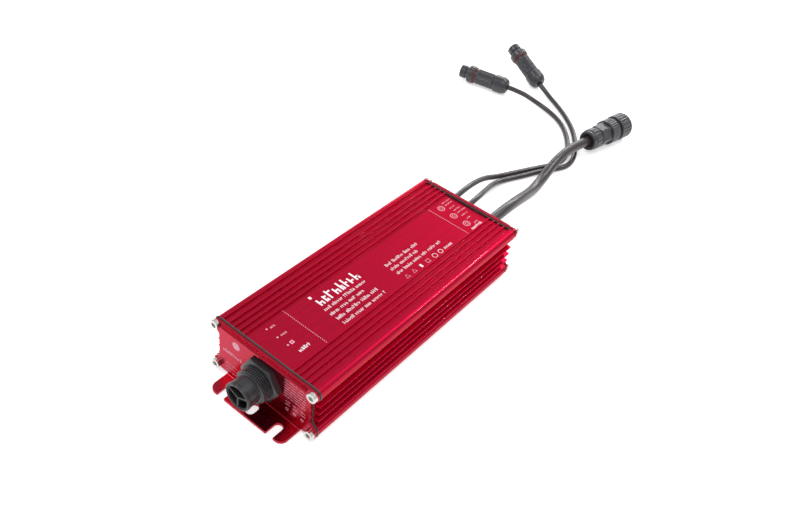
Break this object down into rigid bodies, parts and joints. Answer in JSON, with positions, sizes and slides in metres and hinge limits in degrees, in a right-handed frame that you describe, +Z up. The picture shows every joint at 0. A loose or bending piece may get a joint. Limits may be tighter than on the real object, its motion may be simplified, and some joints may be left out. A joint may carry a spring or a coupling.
{
  "type": "led driver power supply",
  "caption": "Sealed box-shaped LED driver in a ribbed extrusion with slotted end feet, a round mains inlet, two thin control leads and a thick output lead.",
  "frame": {"origin": "on the surface that the feet stand on, midway between the middle slots of the two feet", "axes": "+X across the width, +Y along the length towards the cable end (the mains inlet is at -Y), +Z up out of the ribbed top"},
  "size_m": [0.2085, 0.5382, 0.0463],
  "materials": {
    "red_anodised_housing": "satin red anodised extrusion",
    "red_anodised_plate": "satin red anodised sheet",
    "gasket_rubber": "matt black gasket rubber",
    "screw_steel": "bright zinc or stainless",
    "black_nylon": "fine-grained glass-filled nylon",
    "grey_plug_plastic": "satin moulded nylon",
    "cable_jacket": "smooth dull jacket",
    "orange_ring": "silicone rubber",
    "contact_insert": "moulded",
    "contact_metal": "plated",
    "circuit_laminate": "green solder mask",
    "liner_film": "thin insulating film",
    "ferrite": "sintered ferrite",
    "copper_winding": "enamelled copper wire",
    "bobbin_plastic": "moulded",
    "capacitor_sleeve": "shrink sleeve",
    "film_box": "moulded box",
    "semiconductor": "moulded epoxy",
    "bare_aluminium": "mill finish",
    "soft_pad": "soft gap pad",
    "disc_coating": "epoxy dip",
    "ceramic_fuse": "glazed tube"
  },
  "bodies": {
    "driver": {"board_standoffs": "bobbin_plastic", "boost_choke_core": "ferrite", "boost_choke_winding": "copper_winding", "bridge_rectifier": "semiconductor", "bulk_capacitors": "capacitor_sleeve", "circuit_board": "circuit_laminate", "control_chip": "semiconductor", "control_gland_a_body": "black_nylon", "control_gland_a_nut": "black_nylon", "control_gland_b_body": "black_nylon", "control_gland_b_nut": "black_nylon", "control_lead_a": "cable_jacket", "control_lead_b": "cable_jacket", "control_plug_a_body": "grey_plug_plastic", "control_plug_a_insert": "contact_insert", "control_plug_a_nut": "grey_plug_plastic", "control_plug_a_ring": "orange_ring", "control_plug_b_body": "grey_plug_plastic", "control_plug_b_insert": "contact_insert", "control_plug_b_nut": "grey_plug_plastic", "control_plug_b_ring": "orange_ring", "film_capacitors": "film_box", "filter_choke_core": "ferrite", "filter_choke_winding": "copper_winding", "front_end_plate": "red_anodised_plate", "front_gasket": "gasket_rubber", "front_screws": "screw_steel", "heat_spreader": "bare_aluminium", "housing": "red_anodised_housing", "inlet_body": "black_nylon", "inlet_hex_nut": "black_nylon", "inlet_insert": "contact_insert", "inlet_pins": "contact_metal", "inlet_seal": "gasket_rubber", "insulating_liner": "liner_film", "mains_fuse": "ceramic_fuse", "output_capacitors": "capacitor_sleeve", "output_diodes": "semiconductor", "output_gland_body": "black_nylon", "output_gland_nut": "black_nylon", "output_lead": "cable_jacket", "output_plug_body": "grey_plug_plastic", "output_plug_clamp_nut": "grey_plug_plastic", "output_plug_insert": "contact_insert", "output_terminals": "bobbin_plastic", "power_transistors": "semiconductor", "rear_end_plate": "red_anodised_plate", "rear_gasket": "gasket_rubber", "rear_screws": "screw_steel", "thermal_pad": "soft_pad", "transformer_bobbin": "bobbin_plastic", "transformer_core": "ferrite", "transformer_winding": "copper_winding", "varistor": "disc_coating"},
    "coupling_ring": {"output_coupling_ring": "grey_plug_plastic"}
  },
  "joints": [
    {"name": "coupling_ring_spin", "type": "hinge", "parent": "driver", "child": "coupling_ring", "pos_m": [0.00933, 0.36144, 0.0124], "axis": [0.1723, 0.985, 0], "continuous": true}
  ]
}
